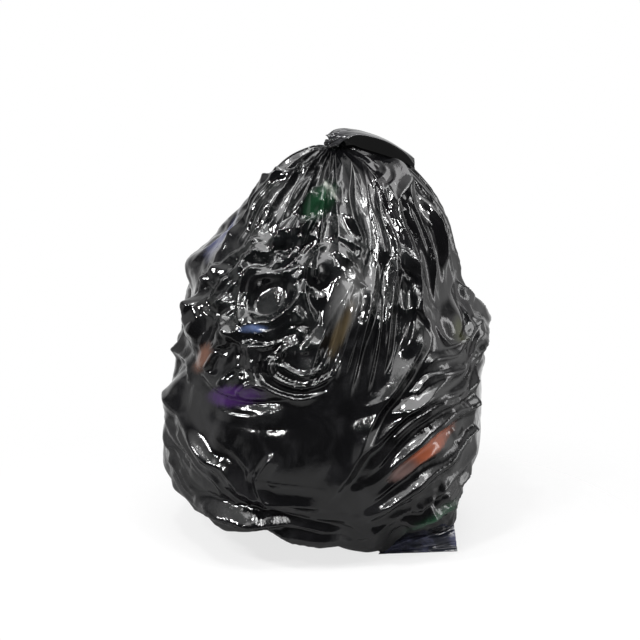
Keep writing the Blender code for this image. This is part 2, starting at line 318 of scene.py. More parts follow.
# The hood, which is the bag's loose mouth: four lines over it, from its front rim to its foot on the bag's
# back. Each runs from the knot outwards, and its places count from the knot.
HOOD_LINES = (
    (
        (-0.006, -0.012, -0.003), (0.006, -0.02, 0.004), (0.0165, -0.026, 0.011), (0.032, -0.03, 0.015),
        (0.06, -0.029, 0.008), (0.086, -0.02, -0.007), (0.1, -0.006, -0.0235),
    ),
    (
        (-0.008, -0.002, 0.01), (0.0, 0.0, 0.016), (0.015, 0.002, 0.019), (0.037, 0.004, 0.0168),
        (0.066, 0.005, 0.0064), (0.09, 0.005, -0.0085), (0.101, 0.003, -0.0175),
    ),
    (
        (-0.004, 0.01, 0.004), (0.006, 0.024, 0.01), (0.02, 0.034, 0.011), (0.04, 0.038, 0.006),
        (0.067, 0.04, -0.004), (0.09, 0.03, -0.02), (0.1025, 0.012, -0.033),
    ),
    (
        (-0.003, 0.016, -0.01), (0.01, 0.036, -0.02), (0.024, 0.05, -0.028), (0.042, 0.056, -0.036),
        (0.063, 0.058, -0.042), (0.087, 0.045, -0.046), (0.097, 0.02, -0.048),
    ),
)
HOOD_LINE_STEPS = 24  # from place to place
HOOD_COLUMNS = 220
HOOD_ROWS = 150
# Its pleats run outwards from the knot and its dents lie anywhere: how many, then the ranges of their sizes,
# with places, lengths and widths as shares of the hood.
HOOD_PLEATS = 34
PLEAT_DRIFTS = (-0.25, 0.25)
PLEAT_LENGTHS = (0.2, 0.9)
PLEAT_CRESTS = (-0.0022, 0.0030)
PLEAT_WIDTHS = (0.02, 0.06)
HOOD_DENTS = 14
DENT_PLACES = (0.1, 1)
DENT_CRESTS = (-0.0010, 0.0012)
DENT_WIDTHS = (0.04, 0.12)
DENT_LEANS = (-0.4, 0.4)
DENT_LENGTH = 0.3
DENT_END = 1.5  # they fade out by this share of their lengths
RIM_CALM = (0.10, 0.7)  # by the rim, up to this share of the way back, they lose this share of their height
HOOD_HEM = (0.115, 0.012, 0.0007)  # the hem's line: its share of the way back, half width and height
RIM_ROLL = (0.02, 0.0010)  # the rim is rolled up: how far back, and how high
CRINKLE_COUNTS = (9, 14, 23, 31)  # waves that cross in the crinkles by the knot
CRINKLE_HEIGHT = 0.0018
CRINKLE_REACH = 0.12  # the share of the way outwards over which they die down
FILM_THICKNESS = 0.0006

# The corner of the bottom seam, which sticks out of the bag's lower right: from where it leaves the bag to
# its end, along the floor, and from the floor up to its upper edge at both.
CORNER_START = Vector((HIGH.x - 0.152, LOW.y + 0.088, LOW.z))
CORNER_END = Vector((HIGH.x - 0.051, LOW.y + 0.098, LOW.z))
CORNER_START_UP = Vector((0.004, 0.008, 0.005))
CORNER_END_UP = Vector((-0.004, 0.024, 0.037))
CORNER_ROWS = 70
CORNER_COLUMNS = 200
# It is creased all over: how many creases, then the ranges of their measures, with places, widths and
# lengths as shares of the corner.
CORNER_CREASES = 46
CREASE_PLACES = (-0.1, 1.1)
CREASE_LEANS = (-0.6, 0.5)
CREASE_CRESTS = (-0.0014, 0.0018)
CREASE_WIDTHS = (0.05, 0.16)
CREASE_LENGTHS = (0.2, 0.7)
CREASE_END = 1.3  # they fade out by this share of their lengths
CORNER_WELD = (0.12, 0.03, 0.0012)  # the weld's line: its share of the way up, its width, and its height
CORNER_LOWEST = 0.0004  # just above the floor

# What shows faintly through the film, and three patches of painted highlight and painted reflection: turn,
# height, half length, half width, lean in degrees from upright towards the right, and colour.
GLIMPSES = (
    ("orange", 36, 0.156, 0.050, 0.013, 62, (0.42, 0.12, 0.06)),
    ("pale_end", 25, 0.132, 0.024, 0.011, 62, (0.17, 0.11, 0.10)),
    # a painted highlight: a pale streak in the colour where a lamp's glint would show on a smooth facet
    ("painted_highlight_streak", -4, 0.460, 0.016, 0.0035, -43, (0.60, 0.60, 0.56)),
    ("green", -12, 0.448, 0.030, 0.018, 35, (0.008, 0.036, 0.016)),
    ("purple", -37, 0.221, 0.045, 0.015, 80, (0.045, 0.014, 0.09)),
    ("pale_blue", -32, 0.303, 0.017, 0.006, 85, (0.07, 0.10, 0.20)),
    ("rust", -54, 0.258, 0.026, 0.014, 40, (0.12, 0.05, 0.03)),
    ("olive", 56, 0.290, 0.018, 0.016, 0, (0.032, 0.036, 0.006)),
    ("dark_green", 42, 0.056, 0.046, 0.014, 62, (0.014, 0.050, 0.026)),
    # a painted reflection: a grey patch in the colour for the soft light mirrored on the flank beside the
    # bottle's base
    ("painted_flank_reflection", 5, 0.338, 0.048, 0.020, 20, (0.075, 0.075, 0.075)),
    ("brown", 2, 0.303, 0.040, 0.009, 22, (0.06, 0.045, 0.025)),
    # a painted reflection: a blue tint in the colour for the bluish glints along the upper left edge
    ("painted_blue_glints", -80, 0.400, 0.050, 0.020, -40, (0.04, 0.045, 0.10)),
    ("grey_green", -84, 0.240, 0.040, 0.020, 10, (0.03, 0.04, 0.035)),
)
GLIMPSE_DEPTH = 0.05
GLIMPSE_EDGE = 1.15  # where a patch ends, in half widths
GLIMPSE_RAGGED = 0.4  # how ragged its edge is
GLIMPSE_FADE = 0.8  # over how many half widths it fades
# The film's own colours; the hood's are paler, partly painted light that comes through its single layer.
FILM_BLACK = (0.003, 0.003, 0.0035, 1)
FILM_SMOKY = (0.012, 0.012, 0.013, 1)
HOOD_LIT_BLACK = (0.008, 0.008, 0.010, 1)
HOOD_LIT_SMOKY = (0.030, 0.030, 0.034, 1)
HOOD_GLOW = 0.010  # daylight through a single layer
SEAM_BLACK = (0.026, 0.028, 0.040, 1)
SEAM_BLUE = (0.105, 0.110, 0.190, 1)
FILM_IOR = 1.65
# Patterns in the film: waves to a metre along each axis, detail, roughness and distortion.
STREAKS = ((240, 240, 36), 3, 0.6, 0.0)
CRINKLES = ((160, 160, 160), 3, 0.55, 0.8)
CLOUDS = ((22, 22, 22), 3, 0.5, 0.0)
SMOKE = ((30, 30, 22), 4, 0.6, 0.6)
SMOKE_RISE = (0.42, 0.72)
# The film is glossiest between the clouds, and its crinkles are deepest in them.
FILM_ROUGHNESS = 0.05
CLOUD_ROUGHNESS = 0.12
CLOUD_ROUGHNESS_RISE = (0.35, 0.7)
CRINKLE_WEIGHT = 0.12
CLOUD_CRINKLE_WEIGHT = 0.3
CLOUD_CRINKLE_RISE = (0.4, 0.65)
STREAK_WEIGHT = 0.22
CREASE_DEPTH = 0.0007

# The studio.
VIEW_LIFT = math.radians(11.5)
VIEW_DISTANCE = 2.0
VIEW_LENS = 86.7
VIEW_AIM = Vector((-0.0098, 0.0, 0.283))
VIEW_SENSOR = 36
FLOOR_FADE = (0.28, 0.62)  # how far out it fades
FLOOR_EDGE = 0.05  # how far past that it reaches
FLOOR_SIDES = 96
FLOOR_PAINT = (0.9, 0.9, 0.9, 1)
FLOOR_ROUGHNESS = 0.9
FLOOR_WHITENESS = 0.75  # the share of plain white in it, as the camera sees it
FLOOR_MIRRORED = 0.28  # how pale the film mirrors it
LAMP_AIM = (0.0, -0.1, 0.28)
LAMPS = (  # place, width, height, power
    ("key", (-0.8, -1.5, 1.5), 0.14, 0.14, 9),
    ("glint_left", (-1.25, -0.9, 1.35), 0.20, 0.20, 16),
    ("glint_high", (-0.35, -1.0, 1.95), 0.16, 0.16, 9),
    ("soft_front", (0.2, -1.25, 1.75), 1.7, 0.5, 6),
    ("strip_front", (0.45, -1.07, 1.75), 0.10, 1.6, 10),
    ("overhead", (0.1, -0.2, 1.9), 1.8, 1.0, 17),
    ("strip_right", (1.7, -0.6, 0.7), 0.3, 1.5, 6),
)
# The room as the film mirrors it: how squarely a way has to point at each part of it before that part starts
# to show, and before it is fully bright.
ROOM_CEILING = (0.58, 1.00)
ROOM_RIGHT = (0.64, 1.04)
ROOM_LEFT = (0.76, 1.00)
ROOM_LEFT_SHARE = 0.45
ROOM_BACK = (0.20, 0.80)
ROOM_DIM = 0.035  # how bright the rest of it is mirrored
ROOM_FILL = 0.20  # how much light it gives from every side


# ---------------------------------------------------------------- the film's lattice

def bag_tree():
    """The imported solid, for rays."""
    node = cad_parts[BAG_NODE]
    places = [vert.co.copy() for vert in node.data.vertices]
    faces = [tuple(face.vertices) for face in node.data.polygons]
    return BVHTree.FromPolygons(places, faces)


def blurred(values, across, along):
    """values smoothed over this many strands across (round the tube) and along it."""
    rows, columns = values.shape
    padded = np.concatenate([values[::-1], values, values[::-1]], axis=0)
    wave_along = np.fft.fftfreq(padded.shape[0])[:, None]
    wave_across = np.fft.fftfreq(columns)[None, :]
    keep = np.exp(-2 * (math.pi * wave_along * along) ** 2 - 2 * (math.pi * wave_across * across) ** 2)
    smooth = np.fft.ifft2(np.fft.fft2(padded) * keep).real
    return smooth[rows : 2 * rows]


def felt_surface(turns):
    """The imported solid's surface as rays from the core feel it: rows from straight down to straight up."""
    tree = bag_tree()
    lifts = np.linspace(LOWEST_LIFT, TOP_LIFT, RAYS_UP)[:, None]
    across, front, up = np.sin(turns) * np.cos(lifts), -np.cos(turns) * np.cos(lifts), np.sin(lifts)
    ways = np.stack([across, front, np.repeat(up, COLUMNS, axis=1)], axis=-1)
    reach = np.array([[tree.ray_cast(CORE, Vector(way))[3] for way in row] for row in ways])
    surface = np.array(CORE) + ways * blurred(reach, *RAYS_BLUR)[..., None]
    surface[..., 2] = np.maximum(surface[..., 2], 0.0)
    return surface


def make_lattice():
    """Where the film would lie smooth: an array of rows from the middle of the underside up to the neck."""
    even = np.arange(COLUMNS) * 2 * math.pi / COLUMNS
    turns = even - FRONT_CROWDING * np.sin(even)
    surface = felt_surface(turns)
    smooth = np.zeros((ROWS + 1, COLUMNS, 3))
    shares = np.linspace(0, 1, ROWS + 1)
    for column in range(COLUMNS):
        line = np.concatenate([surface[:, column], throat_points(turns[column])])
        along = np.concatenate([[0], np.cumsum(np.linalg.norm(np.diff(line, axis=0), axis=1))])
        rim = np.interp(RIM_HEIGHT, line[:, 2], along)
        wanted = np.interp(shares, (0, UNDERSIDE_SHARE, 1), (0, rim - RIM_HEIGHT, along[-1]))
        for axis in range(3):
            smooth[:, column, axis] = np.interp(wanted, along, line[:, axis])
    shape_lower_edge(smooth)
    return smooth


def shape_lower_edge(lattice):
    """Curls the bag's lower edge up, and draws it in on the right and at the front."""
    lift = np.interp(lattice[..., 0], CURL_PLACES, CURL_LIFTS)
    lift *= np.clip(1 - lattice[..., 2] / CURL_HEIGHT, 0, 1) ** 2
    lattice[..., 2] += lift * (1 - rise(lattice[..., 1], CURL_BACK))
    low = np.clip(1 - lattice[..., 2] / DRAWN_IN_HEIGHT, 0, 1)
    lattice[..., 0] -= DRAWN_IN * low * rise(lattice[..., 0], DRAWN_IN_ACROSS)
    low = np.clip(1 - lattice[..., 2] / DRAWN_BACK_HEIGHT, 0, 1) ** DRAWN_BACK_CURVE
    front = eased(-lattice[..., 1] / DRAWN_BACK_FRONT)
    lattice[..., 1] += DRAWN_BACK * low * front * rise(lattice[..., 0], DRAWN_BACK_ACROSS)


def throat_points(turn):
    """The film's way up its throat to the knot, at a turn in radians."""
    return np.array([(CORE.x + r * math.sin(turn), CORE.y - r * math.cos(turn), z) for r, z in THROAT])


def facing(lattice):
    """The direction square to the film at each crossing, outwards."""
    across = np.roll(lattice, -1, axis=1) - np.roll(lattice, 1, axis=1)
    return square_to(across, np.gradient(lattice, axis=0))


def square_to(across, along):
    """The direction square to two others."""
    square = np.cross(across, along)
    return square / np.maximum(np.linalg.norm(square, axis=-1, keepdims=True), TINY)


# ---------------------------------------------------------------- drawing on the film

class FilmMap:
    """Measures on the smooth film: each crossing's turn, height and distances along it and from its axis."""

    def __init__(self, lattice):
        offset = lattice - np.array(CORE)
        self.turn = np.arctan2(offset[..., 0], -offset[..., 1])
        self.height = lattice[..., 2]
        self.radius = np.hypot(offset[..., 0], offset[..., 1])
        steps = np.linalg.norm(np.diff(lattice, axis=0), axis=2)
        self.along = np.concatenate([np.zeros((1, lattice.shape[1])), np.cumsum(steps, axis=0)])

    def column_at(self, turn):
        """The column that reaches the throat nearest a turn in radians."""
        return int(np.argmin(np.abs(turned(self.turn[-1], turn))))

    def along_at(self, turn, height):
        """The distance along the film at a turn in radians and a height."""
        column = self.column_at(turn)
        heights = np.maximum.accumulate(self.height[:, column])
        return float(np.interp(height, heights + np.arange(len(heights)) * TINY, self.along[:, column]))

    def radius_at(self, turn, along):
        """The distance from the bag's axis, at a turn in radians and a distance along the film."""
        column = self.column_at(turn)
        return float(np.interp(along, self.along[:, column], self.radius[:, column]))

    def from_place(self, turn, along):
        """How far each crossing is from a place, across and along the film."""
        return turned(self.turn, turn) * self.radius, self.along - along

    def window(self, line, reach):
        """The rows of the lattice that a line of places and its surroundings cross."""
        mean_along = self.along.mean(axis=1)
        first = np.searchsorted(mean_along, line[:, 1].min() - reach - FOLD_SLACK)
        last = np.searchsorted(mean_along, line[:, 1].max() + reach + FOLD_SLACK)
        return slice(first, last + 1)


def turned(turn, zero):
    """A turn counted from another, between minus and plus half a turn."""
    return (turn - zero + math.pi) % (2 * math.pi) - math.pi


def curve_through(points, steps):
    """A smooth line through points, in this many steps from each to the next."""
    points = np.array(points, float)
    ends = np.concatenate([[2 * points[0] - points[1]], points, [2 * points[-1] - points[-2]]])
    line = []
    for number in range(len(points) - 1):
        before, start, end, after = ends[number : number + 4]
        square = 2 * before - 5 * start + 4 * end - after
        cube = 3 * start - before - 3 * end + after
        for t in np.linspace(0, 1, steps, endpoint=False):
            line.append((2 * start + (end - before) * t + square * t**2 + cube * t**3) / 2)
    line.append(points[-1])
    return np.array(line)


def eased(t):
    """0 below 0, 1 above 1 and a smooth rise between them."""
    t = np.clip(t, 0, 1)
    return t * t * (3 - 2 * t)


def rise(values, span):
    """0 before a span of values, 1 after it and a smooth rise over it."""
    start, end = span
    return eased((values - start) / (end - start))


def add_fold(heights, film, crest, width, line, lean, curve=CREST_CURVE):
    """Adds a fold to the map of heights: a sharp crest that dies away at both ends, steeper on one side."""
    reach = width * (1 + abs(lean))
    rows = film.window(line, reach)
    middle = line[:, 0].mean()
    turn = turned(film.turn[rows], middle) + middle
    along, radius = film.along[rows], film.radius[rows]
    inside = (turn - line[:, 0].min()) * radius > -reach
    inside &= (turn - line[:, 0].max()) * radius < reach
    inside &= (along > line[:, 1].min() - reach) & (along < line[:, 1].max() + reach)
    turn, along, radius = turn[inside], along[inside], radius[inside]
    nearest, share, side = from_line(line, turn, along, radius)
    narrowed = np.minimum(1, radius / NARROW)
    ends = eased(share / FOLD_START) * eased((1 - share) / FOLD_END)
    flank = width * (1 + lean * side) * narrowed
    part = heights[rows]
    part[inside] += crest * narrowed * ends * np.clip(1 - nearest / flank, 0, 1) ** curve
    heights[rows] = part


def from_line(line, turn, along, radius):
    """How far places are from a line, at which share of its length, and on which side."""
    nearest = np.full(turn.shape, np.inf)
    share = np.zeros(turn.shape)
    side = np.zeros(turn.shape)
    for number in range(len(line) - 1):
        (turn_a, along_a), (turn_b, along_b) = line[number], line[number + 1]
        step_x, step_y = (turn_b - turn_a) * radius, along_b - along_a
        off_x, off_y = (turn - turn_a) * radius, along - along_a
        t = np.clip((off_x * step_x + off_y * step_y) / (step_x**2 + step_y**2 + TINY**2), 0, 1)
        distance = np.hypot(off_x - t * step_x, off_y - t * step_y)
        closer = distance < nearest
        nearest = np.where(closer, distance, nearest)
        share = np.where(closer, (number + t) / (len(line) - 1), share)
        side = np.where(closer, np.sign(off_x * step_y - off_y * step_x), side)
    return nearest, share, side


def line_of(film, points):
    """A smooth line through places given as turns in degrees and heights."""
    places = [(math.radians(turn), film.along_at(math.radians(turn), height)) for turn, height in points]
    return curve_through(places, LINE_STEPS)


def line_beside(film, line, offset, start, end):
    """The part of a line between two shares of its length, moved sideways, less so where the bag narrows."""
    part = part_of(line, start, end)
    radius = np.array([film.radius_at(*place) for place in part])
    steps = np.gradient(part, axis=0)
    run, up = steps[:, 0] * radius, steps[:, 1]
    far = np.hypot(run, up) + TINY
    offset = offset * np.minimum(1, radius / BESIDE_NARROW)
    part[:, 0] += offset * up / far / radius
    part[:, 1] -= offset * run / far
    return part


def part_of(line, start, end):
    """The part of a line between two shares of its length."""
    shares = np.linspace(start, end, PART_STEPS) * (len(line) - 1)
    return np.stack([np.interp(shares, np.arange(len(line)), line[:, axis]) for axis in range(2)], axis=-1)


def draw_folds(heights, film):
    """The listed folds, with finer ones that flow between two neighbours or run beside one."""
    for _name, between, beside, strength, folds in FOLDS:
        lines = [line_of(film, points) for _crest, _width, points in folds]
        for number, ((crest, width, _points), line) in enumerate(zip(folds, lines)):
            add_fold(heights, film, crest, width, line, rng.uniform(*FOLD_LEAN))
            for _ in range(beside):
                offset = width * rng.uniform(*BESIDE_OFFSET) * rng.choice((-1, 1))
                finer = line_beside(film, line, offset, *random_in(BESIDE_SPAN))
                add_finer(heights, film, crest * strength, width, finer)
            for step in range(between if number + 1 < len(lines) else 0):
                share = (step + rng.uniform(*BETWEEN_SHARE)) / between
                span = random_in(BETWEEN_SPAN)
                here, there = part_of(line, *span), part_of(lines[number + 1], *span)
                add_finer(heights, film, crest * strength, width, here * (1 - share) + there * share)


def random_in(ranges):
    """A random number in each range."""
    return [rng.uniform(*ends) for ends in ranges]


def add_finer(heights, film, crest, width, line):
    """Adds a finer fold along a line, from the crest and width of the drawn fold that it belongs to."""
    finer_crest, finer_width = crest * rng.uniform(*FINER_CREST), width * rng.uniform(*FINER_WIDTH)
    add_fold(heights, film, finer_crest, finer_width, line, rng.uniform(*FOLD_LEAN))


def scatter_folds(heights, film):
    """The small folds, zone by zone."""
    for _name, *zone, count in SMALL_FOLDS:
        for size in FOLD_SIZES:
            for _ in range(round(count / size**FOLD_SIZE_RARITY)):
                add_small_fold(heights, film, size, zone)


def add_small_fold(heights, film, size, zone):
    """Adds one small fold at a random place in its zone: two straight parts that meet at a slight bend."""
    turn, height, half_turn, half_height, grain, spread, lengths, widths, crest = zone
    around, out = rng.uniform(0, 2 * math.pi), math.sqrt(rng.uniform(0, 1))
    here = math.radians(turn + half_turn * out * math.cos(around))
    along = film.along_at(here, height + half_height * out * math.sin(around))
    way = math.radians(grain + spread * rng.uniform(-1, 1))
    half = rng.uniform(*lengths) / 2 * size**FOLD_SIZE_LENGTH
    radius = max(film.radius_at(here, along), NARROWEST)
    kink = half * rng.uniform(-FOLD_KINK, FOLD_KINK)
    run, climb = half * math.sin(way), half * math.cos(way)
    places = ((-run, -climb), (kink, 0), (run, climb))
    line = np.array([(here + across / radius, along + up) for across, up in places])
    crest = crest * size * rng.uniform(*FOLD_HEIGHTS) * rng.choice(FOLD_SIGNS)
    width = rng.uniform(*widths) * size
    add_fold(heights, film, crest, width, line, rng.uniform(*SMALL_FOLD_LEAN), FACET_CURVE)


def bump(film, turn, height, half_across, half_up, edge, lean=0):
    """1 on a rounded patch, falling to 0 over its edge."""
    across, up = film.from_place(math.radians(turn), film.along_at(math.radians(turn), height))
    cos, sin = math.cos(math.radians(lean)), math.sin(math.radians(lean))
    distance = np.hypot((across * cos - up * sin) / half_across, (up * cos + across * sin) / half_up)
    return eased((1 - distance) / edge)


def gathers(film):
    """The height of the gathers that run down from the neck."""
    drift = sum(size * np.sin(count * film.turn + phase) for count, size, phase in GATHER_DRIFTS)
    phase = (film.turn + drift) * GATHERS / 2
    crest = (1 - np.abs(np.sin(phase))) ** GATHER_CURVE
    number = np.floor(phase / math.pi + 0.5).astype(int) % GATHERS
    lengths = rng.uniform(*GATHER_LENGTHS, GATHERS)[number]
    from_neck = film.along[-1:] - film.along
    faded = eased(GATHER_END - from_neck / lengths)
    return np.minimum(GATHER_SLOPE * film.radius, GATHER_HEIGHT) * crest * faded


# ---------------------------------------------------------------- settling the film

STRANDS = ((0, 1), (1, 0), (1, 1), (1, -1))  # rows and columns from one end of a strand to the other


def strand_lengths(lattice):
    """The length of every strand, one array for each way that strands run."""
    rows = lattice.shape[0]
    lengths = []
    for down, across in STRANDS:
        far = np.roll(lattice, -across, axis=1)[down:]
        lengths.append(np.linalg.norm(far - lattice[: rows - down], axis=-1))
    return lengths


def pulled(lattice, lengths):
    """The lattice after each strand has pulled or pushed its ends towards its own length."""
    rows = lattice.shape[0]
    moves = np.zeros_like(lattice)
    for (down, across), length in zip(STRANDS, lengths):
        far = np.roll(lattice, -across, axis=1)[down:]
        gap = far - lattice[: rows - down]
        now = np.sqrt(np.einsum("ijk,ijk->ij", gap, gap)) + TINY
        gap *= (0.5 * (1 - length / now))[..., None]
        moves[: rows - down] += gap
        moves[down:] -= np.roll(gap, across, axis=1)
    return lattice + moves * SETTLE_GIVE


def unevenness(lattice):
    """How far each crossing is from the middle of its four neighbours."""
    middle = np.roll(lattice, 1, axis=1) + np.roll(lattice, -1, axis=1)
    middle[1:-1] += lattice[2:] + lattice[:-2]
    middle[0] += 2 * lattice[1]
    middle[-1] += 2 * lattice[-2]
    return middle / 4 - lattice


def settled(lattice):
    """The film after it has settled: strands keep their lengths, bends even out, and the floor holds it."""
    lengths = strand_lengths(lattice)
    start = lattice
    form = unevenness(start) * FORM_KEPT
    pinned = int(ROWS * UNDERSIDE_SHARE * PINNED_SHARE)
    before = lattice
    for _ in range(SETTLE_STEPS):
        speed = (lattice - before) * SETTLE_SPEED
        before = lattice
        lattice = pulled(pulled(lattice + speed, lengths), lengths)
        lattice = lattice - SETTLE_BEND * unevenness(unevenness(lattice) - form)
        lattice[..., 2] = np.maximum(lattice[..., 2], 0.0)
        lattice[:pinned] = start[:pinned]
        lattice[-1] = start[-1]
    return lattice


def contents_heights(film):
    """How far the contents press the film out, and how far it sinks into the hollow of a bottle's base."""
    raised, sunk = np.zeros(film.turn.shape), np.zeros(film.turn.shape)
    for turn, height, half_across, half_up, lean, out, edge in CONTENTS:
        shape = out * bump(film, turn, height, half_across, half_up, edge, lean)
        raised, sunk = np.maximum(raised, shape), np.minimum(sunk, shape)
    for _ in range(HIDDEN_CONTENTS):
        turn, height = rng.uniform(*HIDDEN_TURNS), rng.uniform(*HIDDEN_HEIGHTS)
        half_across, half_up = rng.uniform(*HIDDEN_HALVES, 2)
        out, edge = rng.uniform(*HIDDEN_OUT), rng.uniform(*HIDDEN_EDGES)
        raised = np.maximum(raised, out * bump(film, turn, height, half_across, half_up, edge))
    return raised, sunk


def small_fold_heights(film):
    """The small folds, lower in the calm places."""
    heights = np.zeros(film.turn.shape)
    scatter_folds(heights, film)
    for turn, height, half_width, half_height, calm in CALM_PLACES:
        heights *= 1 - calm * bump(film, turn, height, half_width, half_height, CALM_EDGE)
    return heights


def tip_moves(film):
    """How far the tip on the right is moved, crossing by crossing."""
    tip = bump(film, *TIP_PLACE, TIP_REACH, TIP_REACH, 1.0)
    turn, height = TIP_POINT_PLACE
    across, up = film.from_place(math.radians(turn), film.along_at(math.radians(turn), height))
    point = np.clip(1 - np.hypot(across, up) / TIP_POINT_REACH, 0, 1)
    return tip[..., None] * np.array(TIP_SHIFT) + point[..., None] * np.array(TIP_POINT)


def make_film():
    """The film over the contents: every fold stands off the smooth film, and then it settles."""
    smooth = make_lattice()
    film = FilmMap(smooth)
    raised, sunk = contents_heights(film)
    heights = raised + gathers(film)
    draw_folds(heights, film)
    heights += small_fold_heights(film)
    heights += sunk - blurred(heights, *LEVEL_REACH) * LEVEL_SHARE
    heights *= eased(film.along / FOOT_FADE - FOOT_START)
    lattice = smooth + facing(smooth) * heights[..., None] + tip_moves(film)
    return tube_object("bag_film", settled(lattice.astype(np.float32)))


def tube_object(name, lattice, ring=False):
    """A closed skin through the lattice: a grid rolled into a tube, its ends closed or joined in a ring."""
    rows, columns = lattice.shape[0] - 1 + ring, lattice.shape[1]
    bm = bmesh.new()
    bmesh.ops.create_grid(bm, x_segments=columns, y_segments=rows, size=0.5)
    for vert in bm.verts:
        column = round((vert.co.x + 0.5) * columns) % columns
        row = round((vert.co.y + 0.5) * rows) % len(lattice)
        vert.co = lattice[row, column]
    bmesh.ops.remove_doubles(bm, verts=bm.verts, dist=MERGE_GAP)
    ends = [edge for edge in bm.edges if edge.is_boundary]
    bmesh.ops.holes_fill(bm, edges=ends, sides=0)
    bmesh.ops.recalc_face_normals(bm, faces=bm.faces)
    return smooth_object(name, bm)


def sheet_object(name, lattice):
    """An open sheet through the lattice, given the film's thickness."""
    rows, columns = lattice.shape[0] - 1, lattice.shape[1] - 1
    bm = bmesh.new()
    bmesh.ops.create_grid(bm, x_segments=columns, y_segments=rows, size=0.5)
    for vert in bm.verts:
        vert.co = lattice[round((vert.co.y + 0.5) * rows), round((vert.co.x + 0.5) * columns)]
    sheet = smooth_object(name, bm)
    shell = sheet.modifiers.new("thickness", "SOLIDIFY")
    shell.thickness = FILM_THICKNESS
    shell.offset = 0
    return sheet


def flat_size(lattice):
    """The width and length of a sheet before it was gathered, taken along its strands."""
    across = np.linalg.norm(np.diff(lattice, axis=1), axis=-1).sum(axis=1).mean()
    along = np.linalg.norm(np.diff(lattice, axis=0), axis=-1).sum(axis=0).mean()
    return float(across), float(along)


def smooth_object(name, bm):
    """A piece that is shaded smooth."""
    for face in bm.faces:
        face.smooth = True
    return mesh_object(name, bm)


def mesh_object(name, bm):
    """A piece in the scene, from a finished mesh."""
    mesh = bpy.data.meshes.new(name)
    bm.to_mesh(mesh)
    bm.free()
    piece = bpy.data.objects.new(name, mesh)
    bpy.context.scene.collection.objects.link(piece)
    return piece


# ---------------------------------------------------------------- the knot, the hood and the seam's corner

def make_knot():
    """The overhand knot: the gathered film runs once round a trefoil."""
    ways = np.linspace(0, 2 * math.pi, KNOT_STEPS, endpoint=False)
    middle = np.array([trefoil(way) for way in ways])
    run = np.roll(middle, -1, axis=0) - np.roll(middle, 1, axis=0)
    run /= np.linalg.norm(run, axis=1, keepdims=True)
    side = np.cross(run, (0, 0, 1.0))
    side /= np.linalg.norm(side, axis=1, keepdims=True)
    over = np.cross(side, run)
    ways = ways[:, None]
    round_it = np.linspace(0, 2 * math.pi, KNOT_STRANDS, endpoint=False)
    drift = KNOT_DRIFTS[0] * np.sin(3 * ways) + KNOT_DRIFTS[1] * np.sin(2 * round_it)
    pleat = (1 - np.abs(np.sin(round_it * KNOT_PLEATS / 2 + drift))) ** KNOT_PLEAT_CURVE
    crinkle = np.sin(11 * ways + 1) * np.sin(3 * round_it) + np.sin(17 * ways) * np.cos(5 * round_it)
    valley_share, pleat_share, crinkle_share = KNOT_SHARES
    radius = KNOT_FILM * (valley_share + pleat_share * pleat + crinkle_share * crinkle)
    out = side[:, None] * np.cos(round_it)[:, None] + over[:, None] * np.sin(round_it)[:, None]
    return tube_object("knot", middle[:, None] + out * radius[..., None], ring=True)


def trefoil(way):
    """The middle of the gathered film on its way round the knot."""
    across = math.sin(way) + 2 * math.sin(2 * way)
    away = math.cos(way) - 2 * math.cos(2 * way)
    return NECK + Vector((across, away, -math.sin(3 * way) * KNOT_RISE)) * KNOT_LOOP


def curve_at(points, share):
    """The place at a share of the way along a smooth line."""
    line = curve_through(points, HOOD_LINE_STEPS)
    shares = np.linspace(0, 1, len(line))
    return np.stack([np.interp(share, shares, line[:, axis]) for axis in range(3)], axis=-1)


def make_hood():
    """The loose mouth: a sheet from its front rim over to the bag's back, gathered into the knot."""
    outward = np.linspace(0, 1, HOOD_COLUMNS)
    back = np.linspace(0, 1, HOOD_ROWS)
    lines = np.array([curve_at(line, outward) for line in HOOD_LINES])
    over = [curve_at(lines[:, column], back) for column in range(HOOD_COLUMNS)]
    lattice = np.stack(over, axis=1) + np.array(NECK)
    height = hood_heights(*np.meshgrid(outward, back))
    lattice += sheet_facing(lattice) * height[..., None]
    return sheet_object("hood", lattice), flat_size(lattice)


def hood_heights(outward, back):
    """The heights of the hood's pleats, dents, hem, crinkles and rolled rim, at shares outwards and back."""
    height = np.zeros(outward.shape)
    for _ in range(HOOD_PLEATS):
        start, drift = rng.uniform(0, 1), rng.uniform(*PLEAT_DRIFTS)
        length, crest, width = random_in((PLEAT_LENGTHS, PLEAT_CRESTS, PLEAT_WIDTHS))
        off = np.abs(back - start - drift * outward) / (width * (1 + outward))
        height += crest * np.clip(1 - off, 0, 1) ** CREST_CURVE * eased(1 - outward / length)
    for _ in range(HOOD_DENTS):
        start, place = rng.uniform(0, 1), rng.uniform(*DENT_PLACES)
        crest, width, lean = random_in((DENT_CRESTS, DENT_WIDTHS, DENT_LEANS))
        off = np.abs(back - start - lean * (outward - place)) / width
        faded = eased(DENT_END - np.abs(outward - place) / DENT_LENGTH)
        height += crest * np.clip(1 - off, 0, 1) ** CREST_CURVE * faded
    calm_reach, grown = RIM_CALM
    height *= eased(back / calm_reach) * grown + 1 - grown
    hem, hem_width, hem_height = HOOD_HEM
    height += hem_height * np.clip(1 - np.abs(back - hem) / hem_width, 0, 1)
    crinkles = sum(np.sin(count * outward + 5 * count * back + count**2) for count in CRINKLE_COUNTS)
    height += CRINKLE_HEIGHT * crinkles * np.exp(-outward / CRINKLE_REACH)
    roll_reach, roll_height = RIM_ROLL
    return height + roll_height * np.exp(-((back / roll_reach) ** 2))


def sheet_facing(lattice):
    """The direction square to a sheet at each crossing."""
    return square_to(np.gradient(lattice, axis=1), np.gradient(lattice, axis=0))


